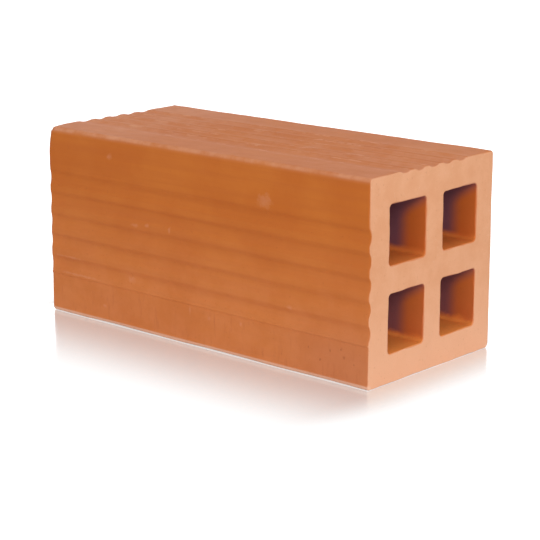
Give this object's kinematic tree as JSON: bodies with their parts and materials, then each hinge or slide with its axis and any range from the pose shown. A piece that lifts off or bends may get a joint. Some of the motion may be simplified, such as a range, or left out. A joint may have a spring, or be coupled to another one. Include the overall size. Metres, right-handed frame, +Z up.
{
  "type": "hollow clay brick",
  "caption": "Fired clay brick with square cells through its length, a grooved band along its front and another along its top, for light walls that are plastered over.",
  "frame": {"origin": "middle of the underside, on the floor", "axes": "+X along the length and the cells, +Y across the width towards the plain long side, +Z up"},
  "size_m": [0.18, 0.08, 0.083],
  "materials": {
    "fired_clay": "matte"
  },
  "bodies": {
    "root": {"brick": "fired_clay"}
  },
  "joints": []
}
